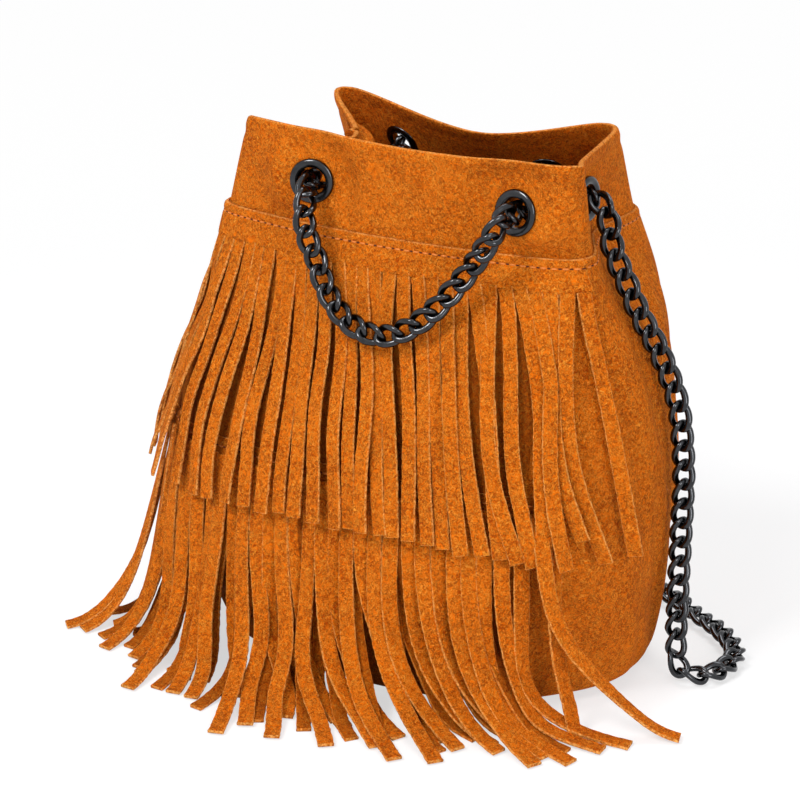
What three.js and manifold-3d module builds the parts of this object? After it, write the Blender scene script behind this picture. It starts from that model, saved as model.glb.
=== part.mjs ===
// A fringed suede bucket bag with a chain strap, in millimetres, +Z up.
// The origin is the middle of the flat base, on the surface the bag stands on. The front faces -Y.
// The bag leans back and slumps, so its wall is lofted through outlines set by hand at seven heights.

import * as THREE from "three";
import { mergeVertices } from "three/addons/utils/BufferGeometryUtils.js";
import Module from "manifold-3d";

const wasm = await Module();
wasm.setup();

// The whole bag
const BAG_WIDTH = 230;
const RIM_HEIGHT = 245;
const BAND_HEIGHT = 42;
const SEAM_HEIGHT = RIM_HEIGHT - BAND_HEIGHT;
const BAND_OVERLAP = 9;

// The outlines and routes below are drawn for a bag 230 wide and 245 tall, and follow its size
const WIDER = BAG_WIDTH / 230;
const TALLER = RIM_HEIGHT / 245;

// Suede
const BODY_THICKNESS = 1.4;
const BAND_THICKNESS = 2.4;
const BASE_THICKNESS = 2.4;
const FRINGE_THICKNESS = 1.4;
const LAYER_GAP = 0.3;
const UPPER_EASE = 1.3;
const RIM_ROUNDING = 0.8;

// Upper fringe
const UPPER_STRIPS = 31;
const UPPER_HEADER = 14;
const UPPER_HEM_HEIGHT = 82;
const UPPER_STRIP_WIDTH = 6.6;
const UPPER_FLARE = 6;
const SLIT_FLARE = 0.6;
const SLIT_WIDTH = 0.5;

// Lower fringe
const LOWER_STRIPS = 33;
const LOWER_TOP_HEIGHT = 106;
const LOWER_HEADER = 8;
const LOWER_STRIP_WIDTH = 6.4;
const FLOOR_CLEARANCE = 0.2;
const HANG_OUT = 12;

// How far the fringes reach round the bag's front corners, at the band and at the hem
const LEFT_REACH = { seam: 2, hem: -5 };
const RIGHT_REACH = { seam: -3, hem: 4 };

// Eyelets
const EYELET_RADIUS = 10;
const HOLE_RADIUS = 5.9;
const BARREL_WALL = 0.6;
const FLANGE_HEIGHT = 1.8;
const WASHER_RADIUS = 9.4;
const WASHER_THICKNESS = 0.9;
const EYELET_SIDES = 10;

// Chain
const WIRE = 2.7;
const LINK_WIDTH = 9.8;
const LINK_PITCH = 9.2;
const LINK_BITE = 0.22;
const CHAIN_REACH = 7;

// Outlines of the wall, seen from above. A corner's third number is how far from it the rounding starts.
const OUTLINES = [
  {
    height: 0,
    front: [-10, -70], right: [87, 0], back: [-4, 60], left: [-102, -4],
    frontRight: [76, -51, 30], backRight: [76, 52, 30], backLeft: [-90, 50, 30], frontLeft: [-96, -58, 30],
  },
  {
    height: 0.06 * SEAM_HEIGHT,
    front: [-9, -75], right: [95, 0], back: [-4, 65], left: [-112, -4],
    frontRight: [87, -57, 32], backRight: [85, 57, 32], backLeft: [-98, 56, 32], frontLeft: [-108, -64, 32],
  },
  {
    height: 0.3 * SEAM_HEIGHT,
    front: [-8, -82], right: [101, -2], back: [-4, 66], left: [-124, -4],
    frontRight: [95, -62, 32], backRight: [89, 57, 32], backLeft: [-106, 58, 32], frontLeft: [-129, -67, 32],
  },
  {
    height: 0.54 * SEAM_HEIGHT,
    front: [-6, -75], right: [101, 0], back: [-4, 64], left: [-124, 0],
    frontRight: [95, -57, 28], backRight: [88, 56, 28], backLeft: [-106, 58, 28], frontLeft: [-133, -58, 26],
  },
  {
    height: 0.79 * SEAM_HEIGHT,
    front: [-6, -58], right: [89, 4], back: [-4, 62], left: [-103, 5],
    frontRight: [91, -45, 18], backRight: [82, 58, 18], backLeft: [-101, 60, 20], frontLeft: [-123, -44, 18],
  },
  {
    height: SEAM_HEIGHT,
    front: [-6, -45], right: [62, 8], back: [-8, 54], left: [-64, 6],
    frontRight: [81, -33, 8], backRight: [59, 67, 12], backLeft: [-94, 60, 12], frontLeft: [-117, -28, 12],
  },
  {
    height: RIM_HEIGHT,
    front: [0, -47], right: [72, -22], back: [-2, 26], left: [-24, -26],
    frontRight: [85, -45, 8], backRight: [54, 50, 9], backLeft: [-95, 46, 12], frontLeft: [-99, -38, 14],
  },
];
// How far the rim sags between its corners, or stands up where the number is below zero
const RIM_SAG = { front: 3.5, right: 3, backRight: 2, back: 9, backLeft: -1.5, left: 6, frontLeft: -2 };

const SIDES = ["front", "frontRight", "right", "backRight", "back", "backLeft", "left", "frontLeft"];
const ANCHORS = 12;
const FRONT_LEFT_TURN = -2 / ANCHORS;
const FRONT_RIGHT_TURN = 2 / ANCHORS;

// Where the ends of the lower fringe lie on the floor, from the bag's left side round to its right
const TIP_LINE = [
  [-158, -48], [-160, -88], [-118, -116], [-66, -131], [0, -134], [58, -118], [104, -92], [138, -48],
];
const TIP_REACH = [0, -9, 4, -4, 7, -12, 2];

// Eyelets: place round the outline, as a turn, and how far the middle is below the rim
const EYELETS = {
  front_left: { turn: -0.43 / ANCHORS, drop: 0.55 * BAND_HEIGHT },
  front_right: { turn: 0.62 / ANCHORS, drop: 0.55 * BAND_HEIGHT },
  side_right: { turn: 3 / ANCHORS, drop: 0.57 * BAND_HEIGHT },
  back_right: { turn: 5.5 / ANCHORS, drop: 0.57 * BAND_HEIGHT },
  back_left: { turn: 6.6 / ANCHORS, drop: 0.52 * BAND_HEIGHT },
  side_left: { turn: 9 / ANCHORS, drop: 0.57 * BAND_HEIGHT },
};

// Chain route between eyelets, by hand. Each run starts and ends in the middle of an eyelet.
const FRONT_SWAG = [
  [-41, -62, 206], [-37, -60, 193], [-28, -64, 179], [-14, -68, 169], [3, -69, 167],
  [20, -67, 176], [34, -62, 192], [43, -60, 205], [50, -62, 215],
];
const INSIDE_RIGHT = [[52, -30, 221], [52, -17, 218]];
const STRAP = [
  [77, -6, 210], [79, -7, 201], [85, -6, 188], [91.5, -5, 174], [98, -1, 160], [104, 2, 145], [108, 4, 131],
  [110, 5, 116], [111, 6, 99], [111, 6, 70], [111, 6, 40], [111, 7, 16], [113, 6, 7], [119, 6, 5], [126, 10, 5],
  [130, 21, 5], [129, 34, 5], [122, 45, 5], [111, 55, 5], [98, 63, 5], [82, 74, 5], [60, 84, 5], [30, 89, 5],
  [-10, 90, 5], [-42, 90, 8], [-58, 86, 26], [-60, 80, 60], [-59, 77, 110], [-57, 74, 160], [-57, 73, 190],
  [-58, 66, 213],
];
const INSIDE_LEFT = [[-46, 24, 222], [-34, 2, 221], [-36, -20, 221]];

// Colours
const SUEDE_COLOUR = 0xc9691d;
const LINING_COLOUR = 0x9c4c12;
const GUNMETAL_COLOUR = 0x2e2f33;

const suede = () => new THREE.MeshStandardMaterial({ color: SUEDE_COLOUR, roughness: 0.95, metalness: 0 });
const darkSuede = () => new THREE.MeshStandardMaterial({ color: LINING_COLOUR, roughness: 0.95, metalness: 0 });
const gunmetal = () => new THREE.MeshStandardMaterial({ color: GUNMETAL_COLOUR, roughness: 0.3, metalness: 1 });

// Numbers between the set outlines follow a smooth curve through them
function smooth(values, place) {
  const last = values.length - 1;
  const from = Math.min(Math.floor(place), last - 1);
  const t = place - from;
  const at = (i) => {
    if (i < 0) return 2 * values[0] - values[1];
    if (i > last) return 2 * values[last] - values[last - 1];
    return values[i];
  };
  const [a, b, c, d] = [at(from - 1), at(from), at(from + 1), at(from + 2)];
  return b + 0.5 * t * (c - a + t * (2 * a - 5 * b + 4 * c - d + t * (3 * (b - c) + d - a)));
}

function heightAt(place) {
  return smooth(OUTLINES.map((outline) => outline.height), place);
}

// The place between outlines, 0 at the base and 6 at the rim, where the wall has a height
function placeOf(height) {
  let low = 0;
  let high = OUTLINES.length - 1;
  for (let i = 0; i < 40; i++) {
    const middle = (low + high) / 2;
    if (heightAt(middle) < height) low = middle;
    else high = middle;
  }
  return (low + high) / 2;
}

const curves = new Map();

// The closed outline at a place: a side gives one point and a corner gives two
function outlineAt(place) {
  if (curves.has(place)) return curves.get(place);
  const last = OUTLINES.length - 1;
  const height = heightAt(place);
  const points = SIDES.map((side) => {
    const x = WIDER * smooth(OUTLINES.map((outline) => outline[side][0]), place);
    const y = WIDER * smooth(OUTLINES.map((outline) => outline[side][1]), place);
    const sag = TALLER * smooth(OUTLINES.map((_, i) => (i === last ? RIM_SAG[side] ?? 0 : 0)), place);
    return new THREE.Vector3(x, y, height - sag);
  });
  const anchors = [];
  SIDES.forEach((side, i) => {
    if (i % 2 === 0) {
      anchors.push(points[i]);
      return;
    }
    const setback = WIDER * smooth(OUTLINES.map((outline) => outline[side][2]), place);
    for (const neighbour of [points[i - 1], points[(i + 1) % SIDES.length]]) {
      const towards = neighbour.clone().sub(points[i]).setLength(setback);
      anchors.push(points[i].clone().add(towards));
    }
  });
  const curve = new THREE.CatmullRomCurve3(anchors, true, "centripetal");
  curves.set(place, curve);
  return curve;
}

const wrap = (turn) => ((turn % 1) + 1) % 1;

// A point of the wall at a turn round it and a place up it, moved outwards by an offset
function wallPoint(turn, place, offset) {
  const curve = outlineAt(place);
  const step = 0.002;
  const point = curve.getPoint(wrap(turn));
  const along = curve.getPoint(wrap(turn + step)).sub(curve.getPoint(wrap(turn - step)));
  const outwards = new THREE.Vector3(along.y, -along.x, 0).normalize();
  return point.addScaledVector(outwards, offset);
}

// The turn at a distance along an outline, anticlockwise where the distance is positive
function turnAtDistance(place, fromTurn, distance) {
  const curve = outlineAt(place);
  const step = 0.0005 * Math.sign(distance);
  let turn = fromTurn;
  let left = Math.abs(distance);
  let point = curve.getPoint(wrap(turn));
  while (left > 0) {
    const next = curve.getPoint(wrap(turn + step));
    const stride = next.distanceTo(point);
    turn += step * Math.min(left / stride, 1);
    left -= stride;
    point = next;
  }
  return turn;
}

function lengthBetween(place, fromTurn, toTurn) {
  const curve = outlineAt(place);
  const steps = 400;
  let length = 0;
  let point = curve.getPoint(wrap(fromTurn));
  for (let i = 1; i <= steps; i++) {
    const next = curve.getPoint(wrap(fromTurn + ((toTurn - fromTurn) * i) / steps));
    length += next.distanceTo(point);
    point = next;
  }
  return length;
}

// A sheet with thickness on a grid whose rows run down and whose columns run anticlockwise.
// Cells left out make slits and free ends. A ring joins its last column to its first.
function sheet({ rows, columns, outer, inner, present = () => true, ring = false }) {
  const positions = [];
  for (let row = 0; row < rows; row++) {
    for (let column = 0; column < columns; column++) {
      positions.push(...outer(row, column).toArray(), ...inner(row, column).toArray());
    }
  }
  const cellColumns = ring ? columns : columns - 1;
  const filled = (row, column) => {
    if (row < 0 || row >= rows - 1) return false;
    if (ring) return present(row, (column + columns) % columns);
    return column >= 0 && column < cellColumns && present(row, column);
  };
  const vertex = (row, column) => (row * columns + (column % columns)) * 2;
  const faces = [];
  const used = new Set();
  for (let row = 0; row < rows - 1; row++) {
    for (let column = 0; column < cellColumns; column++) {
      if (!filled(row, column)) continue;
      const topLeft = vertex(row, column);
      const topRight = vertex(row, column + 1);
      const lowLeft = vertex(row + 1, column);
      const lowRight = vertex(row + 1, column + 1);
      faces.push(topLeft, lowLeft, lowRight, topLeft, lowRight, topRight);
      faces.push(topLeft + 1, lowRight + 1, lowLeft + 1, topLeft + 1, topRight + 1, lowRight + 1);
      const edges = [
        [topLeft, lowLeft, filled(row, column - 1)],
        [lowLeft, lowRight, filled(row + 1, column)],
        [lowRight, topRight, filled(row, column + 1)],
        [topRight, topLeft, filled(row - 1, column)],
      ];
      for (const [from, to, shared] of edges) {
        if (!shared) faces.push(from, from + 1, to + 1, from, to + 1, to);
      }
      [topLeft, topRight, lowLeft, lowRight].forEach((corner) => used.add(corner).add(corner + 1));
    }
  }
  return pickedGeometry(positions, faces, used);
}

// A geometry with only the vertices that its faces use
function pickedGeometry(positions, faces, used) {
  const order = [...used].sort((a, b) => a - b);
  const renamed = new Map(order.map((vertex, i) => [vertex, i]));
  const picked = order.flatMap((vertex) => positions.slice(3 * vertex, 3 * vertex + 3));
  const geometry = new THREE.BufferGeometry();
  geometry.setAttribute("position", new THREE.Float32BufferAttribute(picked, 3));
  geometry.setIndex(faces.map((vertex) => renamed.get(vertex)));
  geometry.computeVertexNormals();
  return geometry;
}

function toSolid(geometry) {
  const bare = geometry.clone();
  bare.deleteAttribute("normal");
  bare.deleteAttribute("uv");
  const merged = mergeVertices(bare, 1e-4);
  return new wasm.Manifold(new wasm.Mesh({
    numProp: 3,
    vertProperties: new Float32Array(merged.attributes.position.array),
    triVerts: new Uint32Array(merged.index.array),
  }));
}

function toGeometry(solid) {
  const mesh = solid.getMesh();
  const geometry = new THREE.BufferGeometry();
  geometry.setAttribute("position", new THREE.BufferAttribute(mesh.vertProperties, 3));
  geometry.setIndex(new THREE.BufferAttribute(mesh.triVerts, 1));
  geometry.computeVertexNormals();
  return geometry;
}

// Columns round the whole outline, closer together at the corners and folds
const SPAN_STEPS = [3, 3, 3, 3, 3, 3, 3, 3, 3, 4, 4, 3];
const RING_TURNS = SPAN_STEPS.flatMap((steps, span) => (
  Array.from({ length: steps }, (_, i) => (span + i / steps) / ANCHORS)
));

function wallSheet(places, outerOffsets, innerOffsets) {
  return sheet({
    rows: places.length,
    columns: RING_TURNS.length,
    outer: (row, column) => wallPoint(RING_TURNS[column], places[row], outerOffsets[row]),
    inner: (row, column) => wallPoint(RING_TURNS[column], places[row], innerOffsets[row]),
    ring: true,
  });
}

// The body is one shell from the base seam to the band, outside the band's lower edge
const BODY_INNER = LAYER_GAP;
const BODY_OUTER = BODY_INNER + BODY_THICKNESS;

function bodyShell() {
  const places = [5, placeOf(SEAM_HEIGHT - BAND_OVERLAP), 4.4, 4, 3.5, 3, 2.5, 2, 1, 0];
  return wallSheet(places, places.map(() => BODY_OUTER), places.map(() => BODY_INNER));
}

// The base is a flat panel inside the foot of the shell
function basePanel() {
  const outline = new THREE.Shape(RING_TURNS.map((turn) => {
    const point = wallPoint(turn, 0, 0);
    return new THREE.Vector2(point.x, point.y);
  }));
  return new THREE.ExtrudeGeometry(outline, { depth: BASE_THICKNESS, bevelEnabled: false });
}

// The band is a cuff folded over at the rim and pierced for the eyelets
function bandBlank() {
  const rim = OUTLINES.length - 1;
  const fold = placeOf(RIM_HEIGHT - RIM_ROUNDING);
  const lowest = placeOf(SEAM_HEIGHT - BAND_OVERLAP);
  const places = [rim, fold, 5, lowest];
  const outerOffsets = places.map((_, row) => (row === 0 ? -RIM_ROUNDING : 0));
  const innerOffsets = places.map((_, row) => (row === 0 ? RIM_ROUNDING - BAND_THICKNESS : -BAND_THICKNESS));
  return wallSheet(places, outerOffsets, innerOffsets);
}

// An eyelet's frame: its middle on the band's outer face, with Z out of the bag
function eyeletFrame({ turn, drop }) {
  const place = placeOf(RIM_HEIGHT - drop);
  const middle = wallPoint(turn, place, 0);
  const across = wallPoint(turn + 0.02, place, 0).sub(wallPoint(turn - 0.02, place, 0));
  const up = wallPoint(turn, place + 0.15, 0).sub(wallPoint(turn, place - 0.15, 0));
  const outwards = across.clone().cross(up).normalize();
  const sideways = across.normalize();
  const upwards = outwards.clone().cross(sideways).normalize();
  return new THREE.Matrix4().makeBasis(sideways, upwards, outwards).setPosition(middle);
}

function turned(profile) {
  const points = profile.map(([radius, height]) => new THREE.Vector2(radius, height));
  points.push(points[0].clone());
  const geometry = new THREE.LatheGeometry(points, EYELET_SIDES);
  geometry.rotateX(Math.PI / 2);
  return geometry;
}

// The outer half: a domed flange with a barrel through the band and the washer
function eyeletRing() {
  const under = LAYER_GAP;
  const barrelEnd = -BAND_THICKNESS - LAYER_GAP - WASHER_THICKNESS - 0.5;
  const barrelOuter = HOLE_RADIUS + BARREL_WALL;
  return turned([
    [HOLE_RADIUS, barrelEnd],
    [barrelOuter, barrelEnd],
    [barrelOuter, under],
    [EYELET_RADIUS, under],
    [EYELET_RADIUS - 0.9, under + 0.8 * FLANGE_HEIGHT],
    [HOLE_RADIUS + 0.7, under + FLANGE_HEIGHT],
  ]);
}

// The inner half: a flat washer round the barrel, behind the band
function eyeletWasher() {
  const inside = HOLE_RADIUS + BARREL_WALL + LAYER_GAP;
  const face = -BAND_THICKNESS - LAYER_GAP;
  return turned([
    [inside, face - WASHER_THICKNESS],
    [WASHER_RADIUS, face - WASHER_THICKNESS],
    [WASHER_RADIUS, face],
    [inside, face],
  ]);
}

// The leather is pressed flat under the flange and the washer, and pierced for the barrel
function eyeletCutters(frame) {
  const room = 8;
  const cutter = (radius, from, to) => {
    const geometry = new THREE.CylinderGeometry(radius, radius, to - from, EYELET_SIDES);
    geometry.rotateX(Math.PI / 2);
    geometry.translate(0, 0, (from + to) / 2);
    geometry.applyMatrix4(frame);
    return toSolid(geometry);
  };
  const hole = cutter(HOLE_RADIUS + BARREL_WALL + LAYER_GAP, -room, room);
  const outerSeat = cutter(EYELET_RADIUS + 0.6, 0, room);
  const innerSeat = cutter(WASHER_RADIUS + 0.6, -room, -BAND_THICKNESS);
  return hole.add(outerSeat).add(innerSeat);
}

function topBand() {
  let band = toSolid(bandBlank());
  for (const eyelet of Object.values(EYELETS)) {
    band = band.subtract(eyeletCutters(eyeletFrame(eyelet)));
  }
  return toGeometry(band);
}

// Both fringes are one strip of suede each: a header sewn to the bag, slit into strips below it.
// Each strip has two columns, and the slit between two strips is a column of missing cells.
const FRINGE_INNER = BODY_OUTER + LAYER_GAP;
const FRINGE_OUTER = FRINGE_INNER + FRINGE_THICKNESS;

// The turns of both edges of every strip at one height, spaced evenly along the wall.
// Where the wall is too short for the full width, the strips are narrower.
function stripEdges(height, strips, fullWidth) {
  const place = placeOf(height);
  const down = (SEAM_HEIGHT - height) / (SEAM_HEIGHT - UPPER_HEM_HEIGHT);
  const reachAt = ({ seam, hem }) => seam + down * (hem - seam);
  const start = turnAtDistance(place, FRONT_LEFT_TURN, -reachAt(LEFT_REACH));
  const end = turnAtDistance(place, FRONT_RIGHT_TURN, reachAt(RIGHT_REACH));
  const pitch = lengthBetween(place, start, end) / strips;
  const width = Math.min(fullWidth, pitch - SLIT_WIDTH);
  const edges = [];
  let edge = turnAtDistance(place, start, (pitch - width) / 2);
  for (let i = 0; i < strips; i++) {
    const otherEdge = turnAtDistance(place, edge, width);
    edges.push(edge, otherEdge);
    edge = turnAtDistance(place, otherEdge, pitch - width);
  }
  return edges;
}

function upperFringe() {
  const slitTop = SEAM_HEIGHT - UPPER_HEADER;
  const drops = [0, 0.5, 1];
  const heights = [SEAM_HEIGHT, ...drops.map((part) => slitTop + part * (UPPER_HEM_HEIGHT - slitTop))];
  const flares = [0, ...drops.map((part) => SLIT_FLARE + (UPPER_FLARE - SLIT_FLARE) * part ** 1.3)];
  const edges = heights.map((height) => stripEdges(height, UPPER_STRIPS, UPPER_STRIP_WIDTH));
  const point = (offset) => (row, column) => (
    wallPoint(edges[row][column], placeOf(heights[row]), UPPER_EASE + offset + flares[row])
  );
  return sheet({
    rows: heights.length,
    columns: 2 * UPPER_STRIPS,
    outer: point(FRINGE_OUTER),
    inner: point(FRINGE_INNER),
    present: (row, column) => row === 0 || column % 2 === 0,
  });
}

// Where each lower strip ends on the floor: evenly along the tip line, some nearer and some farther
function tipPoints() {
  const line = new THREE.CatmullRomCurve3(TIP_LINE.map(([x, y]) => new THREE.Vector3(x * WIDER, y * WIDER, 0)));
  return Array.from({ length: LOWER_STRIPS }, (_, i) => {
    const along = i / (LOWER_STRIPS - 1);
    const tip = line.getPointAt(along);
    const tangent = line.getTangentAt(along);
    const outwards = new THREE.Vector3(tangent.y, -tangent.x, 0);
    return tip.addScaledVector(outwards, WIDER * TIP_REACH[i % TIP_REACH.length]);
  });
}

// A lower strip hangs from its header, leaves the wall and runs out along the floor
function lowerStripPath(start, outwards, tip) {
  const lying = FLOOR_CLEARANCE + FRINGE_THICKNESS / 2;
  const end = new THREE.Vector3(tip.x, tip.y, lying);
  const hang = start.clone().addScaledVector(outwards, HANG_OUT).add(new THREE.Vector3(0, 0, -0.75 * start.z));
  const foot = start.clone().lerp(end, 0.5);
  foot.z = lying;
  return new THREE.CubicBezierCurve3(start, hang, foot, end);
}

function lowerFringe() {
  const heights = [LOWER_TOP_HEIGHT, LOWER_TOP_HEIGHT - LOWER_HEADER];
  const edges = heights.map((height) => stripEdges(height, LOWER_STRIPS, LOWER_STRIP_WIDTH));
  const tips = tipPoints();
  const parts = [0, 0.25, 0.5, 0.75, 1];
  const middleOffset = (FRINGE_INNER + FRINGE_OUTER) / 2;
  const slitTop = placeOf(heights[1]);
  const strips = tips.map((tip, i) => {
    const middle = (edges[1][2 * i] + edges[1][2 * i + 1]) / 2;
    const start = wallPoint(middle, slitTop, middleOffset);
    const outwards = wallPoint(middle, slitTop, middleOffset + 1).sub(start);
    const sideways = new THREE.Vector3(-outwards.y, outwards.x, 0);
    return { path: lowerStripPath(start, outwards, tip), sideways };
  });
  const point = (sign) => (row, column) => {
    const strip = strips[Math.floor(column / 2)];
    const side = column % 2 === 0 ? -1 : 1;
    if (row < 2) {
      const offset = middleOffset + (sign * FRINGE_THICKNESS) / 2;
      return wallPoint(edges[row][column], placeOf(heights[row]), offset);
    }
    const part = parts[row - 1];
    const along = strip.path.getTangent(part);
    const across = strip.sideways.clone().addScaledVector(along, -strip.sideways.dot(along)).normalize();
    const facing = along.clone().cross(across).multiplyScalar(-1);
    return strip.path.getPoint(part)
      .addScaledVector(across, (side * LOWER_STRIP_WIDTH) / 2)
      .addScaledVector(facing, (-sign * FRINGE_THICKNESS) / 2);
  };
  return sheet({
    rows: parts.length + 1,
    columns: 2 * LOWER_STRIPS,
    outer: point(1),
    inner: point(-1),
    present: (row, column) => row === 0 || column % 2 === 0,
  });
}

// One link: an oval of flattened wire round its own middle, long along X and wide along Y
function linkGeometry(pitch) {
  const half = pitch / 2 + WIRE / 2 - LINK_BITE;
  const wide = (LINK_WIDTH - WIRE) / 2;
  const nose = 0.78 * wide;
  const path = [[half, -nose], [half, nose], [0, wide], [-half, nose], [-half, -nose], [0, -wide]];
  const radius = WIRE / 2;
  const positions = [];
  path.forEach(([x, y], i) => {
    const before = path[(i + path.length - 1) % path.length];
    const after = path[(i + 1) % path.length];
    const arriving = new THREE.Vector2(x - before[0], y - before[1]).normalize();
    const leaving = new THREE.Vector2(after[0] - x, after[1] - y).normalize();
    const along = arriving.clone().add(leaving).normalize();
    const outwards = new THREE.Vector2(along.y, -along.x).multiplyScalar(radius / along.dot(leaving));
    positions.push(x + outwards.x, y + outwards.y, 0);
    positions.push(x, y, radius);
    positions.push(x - outwards.x, y - outwards.y, 0);
    positions.push(x, y, -radius);
  });
  const faces = [];
  for (let i = 0; i < path.length; i++) {
    const next = (i + 1) % path.length;
    for (let side = 0; side < 4; side++) {
      const nextSide = (side + 1) % 4;
      const corners = [4 * i + side, 4 * next + side, 4 * next + nextSide, 4 * i + nextSide];
      faces.push(corners[0], corners[1], corners[2], corners[0], corners[2], corners[3]);
    }
  }
  const geometry = new THREE.BufferGeometry();
  geometry.setAttribute("position", new THREE.Float32BufferAttribute(positions, 3));
  geometry.setIndex(faces);
  return geometry;
}

// Middles of the links on a run between two eyelets, evenly spaced along a smooth curve.
// The pitch gives a little, so that a whole number of links fills the run.
function linkMiddles(from, to, route) {
  const middle = (frame, out) => new THREE.Vector3(0, 0, out).applyMatrix4(frame);
  const seat = -BAND_THICKNESS / 2;
  const points = [middle(from.frame, seat), middle(from.frame, seat + from.side * CHAIN_REACH)];
  points.push(...route.map(([x, y, z]) => new THREE.Vector3(x * WIDER, y * WIDER, z * TALLER)));
  points.push(middle(to.frame, seat + to.side * CHAIN_REACH), middle(to.frame, seat));
  const curve = new THREE.CatmullRomCurve3(points, false, "centripetal");
  curve.arcLengthDivisions = 2000;
  const links = Math.ceil(curve.getLength() / LINK_PITCH);
  const pitch = curve.getLength() / links;
  return Array.from({ length: links }, (_, i) => ({ middle: curve.getPointAt(i / links), pitch }));
}

// The whole strap is one chain threaded through the eyelets. Each link is a quarter turn from the last.
function chainStrap() {
  const frames = Object.fromEntries(Object.entries(EYELETS).map(([name, eyelet]) => [name, eyeletFrame(eyelet)]));
  const outside = (name) => ({ frame: frames[name], side: 1 });
  const inside = (name) => ({ frame: frames[name], side: -1 });
  const runs = [
    linkMiddles(inside("back_left"), inside("front_left"), INSIDE_LEFT),
    linkMiddles(outside("front_left"), outside("front_right"), FRONT_SWAG),
    linkMiddles(inside("front_right"), inside("side_right"), INSIDE_RIGHT),
    linkMiddles(outside("side_right"), outside("back_left"), STRAP),
  ];
  const middles = runs.flat();
  const links = middles.map(({ middle, pitch }, i) => {
    const before = middles[(i + middles.length - 1) % middles.length].middle;
    const after = middles[(i + 1) % middles.length].middle;
    const along = after.clone().sub(before).normalize();
    const upright = Math.abs(along.z) > 0.8 ? new THREE.Vector3(0, -1, 0) : new THREE.Vector3(0, 0, 1);
    const across = upright.clone().cross(along).normalize();
    const frame = new THREE.Matrix4().makeBasis(along, across, along.clone().cross(across));
    const roll = new THREE.Matrix4().makeRotationX(i % 2 === 0 ? Math.PI / 4 : -Math.PI / 4);
    const geometry = linkGeometry(pitch).applyMatrix4(frame.multiply(roll).setPosition(middle));
    return toSolid(geometry);
  });
  return toGeometry(wasm.Manifold.union(links));
}

// The finished bag
const bag = new THREE.Group();

function add(name, geometry, material) {
  const mesh = new THREE.Mesh(geometry, material);
  mesh.name = name;
  bag.add(mesh);
  return mesh;
}

add("body_shell", bodyShell(), suede());
add("base_panel", basePanel(), darkSuede());
add("top_band", topBand(), suede());
add("fringe_upper", upperFringe(), suede());
add("fringe_lower", lowerFringe(), suede());
for (const [name, eyelet] of Object.entries(EYELETS)) {
  const frame = eyeletFrame(eyelet);
  add(`eyelet_${name}`, eyeletRing(), gunmetal()).applyMatrix4(frame);
  add(`washer_${name}`, eyeletWasher(), gunmetal()).applyMatrix4(frame);
}
add("chain_strap", chainStrap(), gunmetal());

export default bag;
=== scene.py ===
# The look of a fringed suede bucket bag with a chain strap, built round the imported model.
import math
import random

import bpy
import numpy as np
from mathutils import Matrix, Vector


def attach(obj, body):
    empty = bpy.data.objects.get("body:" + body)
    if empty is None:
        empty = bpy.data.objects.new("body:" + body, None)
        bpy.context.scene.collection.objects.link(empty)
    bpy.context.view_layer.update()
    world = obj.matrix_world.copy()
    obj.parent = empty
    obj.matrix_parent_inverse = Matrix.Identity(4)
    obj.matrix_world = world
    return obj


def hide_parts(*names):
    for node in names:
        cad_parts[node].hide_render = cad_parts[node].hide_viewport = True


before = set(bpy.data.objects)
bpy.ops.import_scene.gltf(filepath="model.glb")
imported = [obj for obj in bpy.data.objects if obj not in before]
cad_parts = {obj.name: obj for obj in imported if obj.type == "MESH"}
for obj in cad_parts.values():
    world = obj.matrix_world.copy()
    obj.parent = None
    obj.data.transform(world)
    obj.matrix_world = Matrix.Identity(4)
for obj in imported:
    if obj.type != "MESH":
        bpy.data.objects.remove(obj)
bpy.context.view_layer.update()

# Lengths are in millimetres and become metres when a mesh is made
MM = 0.001
BODY = "root"

# Camera
CAMERA_AT = (0.4419, -0.7865, 0.4442)
CAMERA_TURN = (math.radians(70), 0, math.radians(31))
LENS = 93.96

camera_data = bpy.data.cameras.new("camera")
camera_data.lens = LENS
camera_data.sensor_width = 36
camera_data.sensor_fit = "HORIZONTAL"
camera_data.clip_start = 0.01
camera = bpy.data.objects.new("camera", camera_data)
camera.location = CAMERA_AT
camera.rotation_euler = CAMERA_TURN
bpy.context.scene.collection.objects.link(camera)
bpy.context.scene.camera = camera

# The wall, as in the model
RIM = 245
SEAM = 203
# How far the band reaches down inside the body
OVERLAP = 9
# One anchor for each side and two for each corner carry the outline at any height
ANCHORS = 12
# Heights of the outlines, and where each side and corner is at them
HEIGHTS = [0, 0.06 * SEAM, 0.3 * SEAM, 0.54 * SEAM, 0.79 * SEAM, SEAM, RIM]
SIDES = ["front", "frontRight", "right", "backRight", "back", "backLeft", "left", "frontLeft"]
OUTLINES = {
    "front": [(-10, -70), (-9, -75), (-8, -82), (-6, -75), (-6, -58), (-6, -45), (0, -47)],
    "frontRight": [(76, -51), (87, -57), (95, -62), (95, -57), (91, -45), (81, -34), (82, -47)],
    "right": [(87, 0), (95, 0), (101, -2), (101, 0), (89, 4), (62, 8), (72, -22)],
    "backRight": [(76, 52), (85, 57), (89, 57), (88, 56), (82, 58), (59, 67), (54, 50)],
    "back": [(-4, 60), (-4, 65), (-4, 66), (-4, 64), (-4, 62), (-8, 54), (-2, 26)],
    "backLeft": [(-90, 50), (-98, 56), (-106, 58), (-106, 58), (-101, 60), (-94, 60), (-95, 46)],
    "left": [(-102, -4), (-112, -4), (-124, -4), (-124, 0), (-103, 5), (-64, 6), (-43, -24)],
    "frontLeft": [(-96, -58), (-108, -64), (-129, -67), (-131, -58), (-120, -44), (-115, -28), (-99, -38)],
}
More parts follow.
